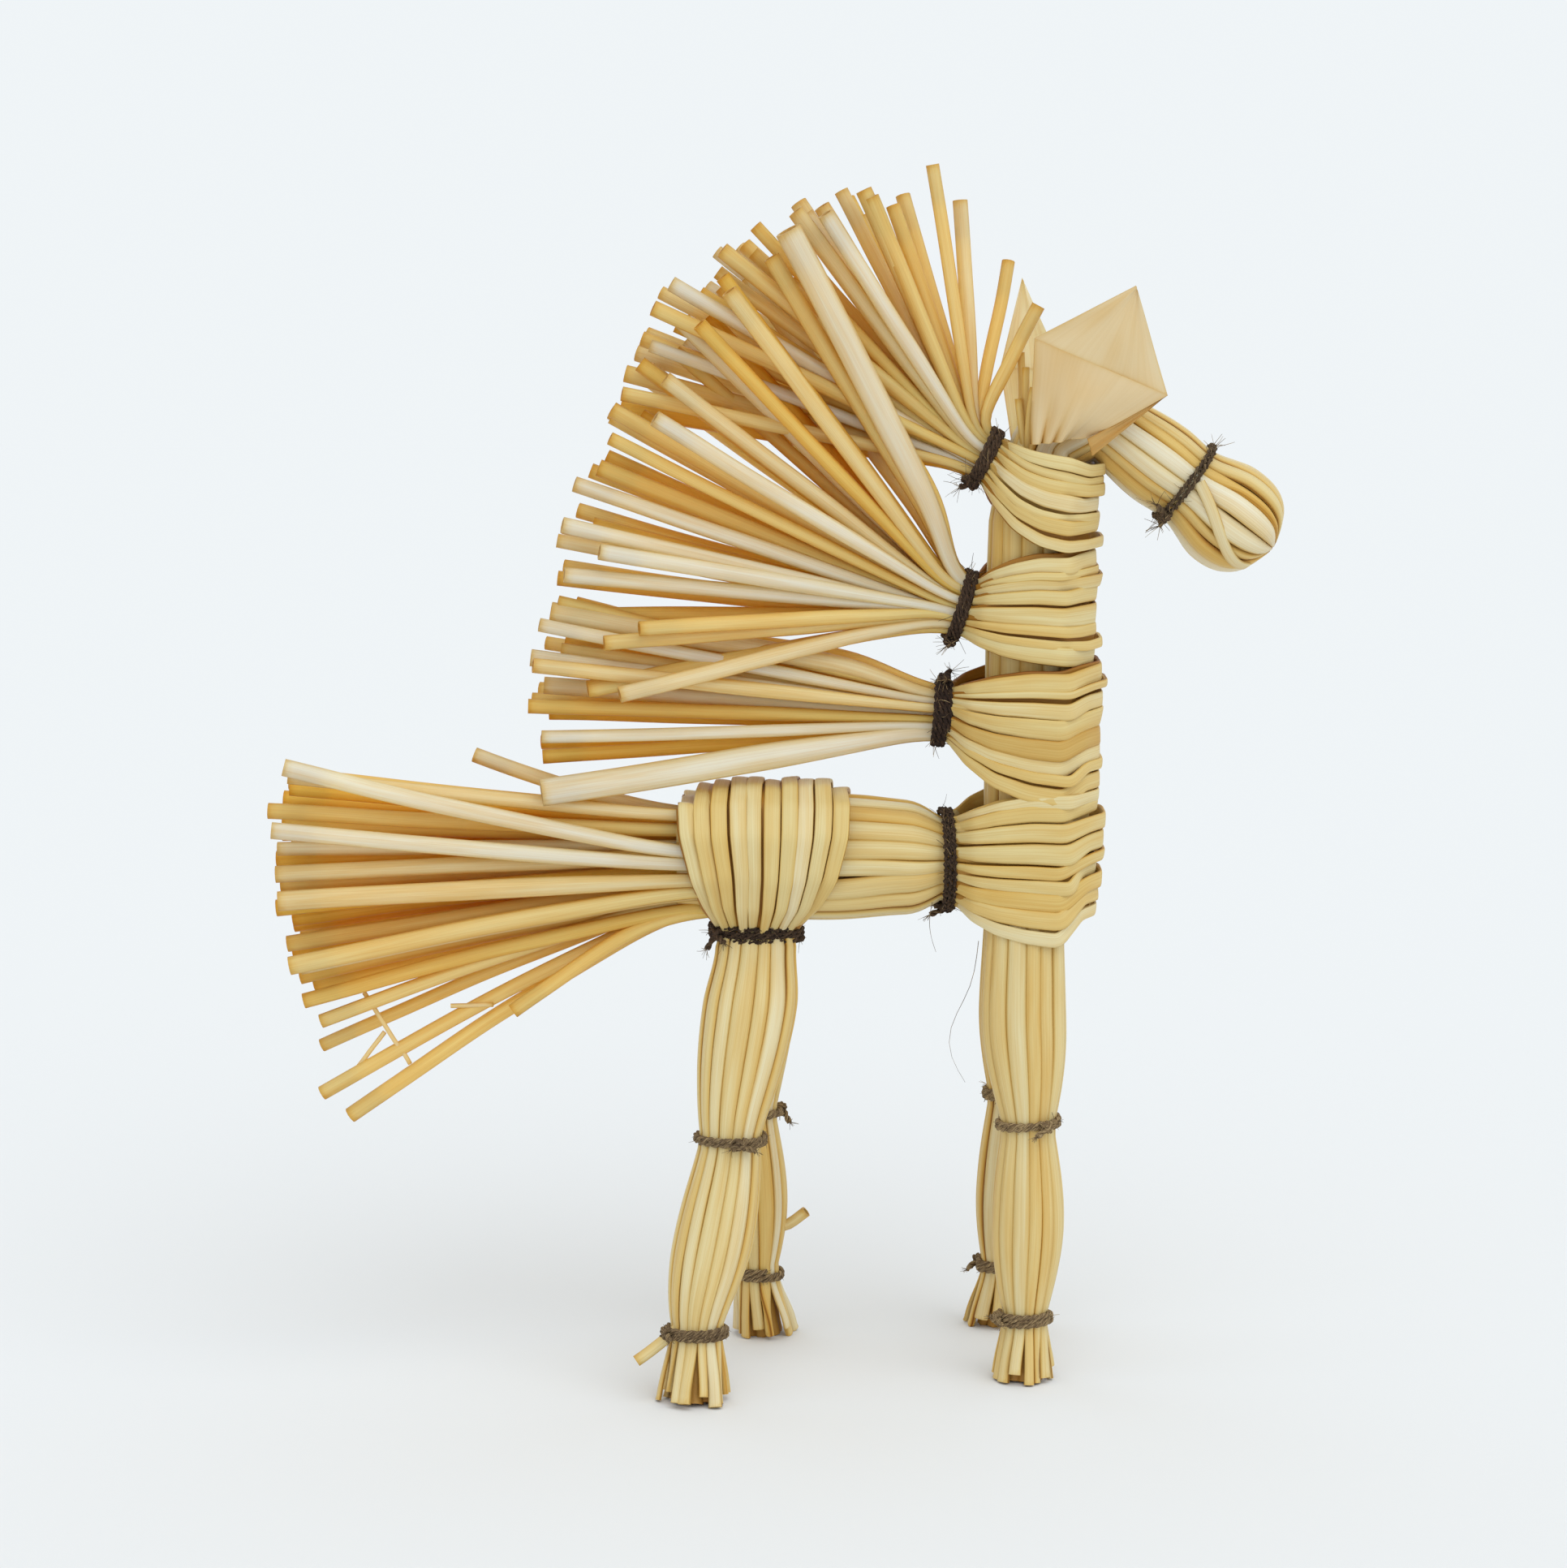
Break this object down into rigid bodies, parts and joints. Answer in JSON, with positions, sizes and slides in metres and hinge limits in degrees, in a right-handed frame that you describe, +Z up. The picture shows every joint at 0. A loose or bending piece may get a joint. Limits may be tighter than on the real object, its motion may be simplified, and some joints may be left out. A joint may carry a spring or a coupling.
{
  "type": "straw horse figurine",
  "caption": "Standing horse folded from bundles of rye straw and bound with linen twine, with a fanned straw mane and tail.",
  "frame": {"origin": "on the ground under the middle of the horse's overall box", "axes": "+X from the tail to the head, +Z up, the near side of the horse towards -Y"},
  "size_m": [0.1638, 0.0538, 0.1941],
  "materials": {
    "bundled_straw": "natural straw, long straws side by side, satin",
    "wrapped_straw": "natural straw pressed flat, satin",
    "loose_straw": "natural round straw with open cut ends, satin",
    "split_straw": "natural straw pressed to a ribbon and folded, satin",
    "twine": "dark brown linen twine, fuzzy"
  },
  "bodies": {
    "root": {"head_bundle": "bundled_straw", "neck_bundle": "bundled_straw", "body_bundle": "bundled_straw", "front_leg_near": "bundled_straw", "front_leg_far": "bundled_straw", "hind_leg_near": "bundled_straw", "hind_leg_far": "bundled_straw", "mane_wrap_top": "wrapped_straw", "mane_wrap_middle": "wrapped_straw", "mane_wrap_lower": "wrapped_straw", "chest_wrap": "wrapped_straw", "rump_wrap": "wrapped_straw", "mane_fan_top": "loose_straw", "mane_fan_middle": "loose_straw", "mane_fan_lower": "loose_straw", "tail_fan": "loose_straw", "ear_near": "split_straw", "ear_far": "split_straw", "snout_tie": "twine", "mane_tie_top": "twine", "mane_tie_middle": "twine", "mane_tie_lower": "twine", "chest_tie": "twine", "belly_tie": "twine", "front_knee_tie_near": "twine", "front_ankle_tie_near": "twine", "front_knee_tie_far": "twine", "front_ankle_tie_far": "twine", "hind_knee_tie_near": "twine", "hind_ankle_tie_near": "twine", "hind_knee_tie_far": "twine", "hind_ankle_tie_far": "twine"}
  },
  "joints": []
}
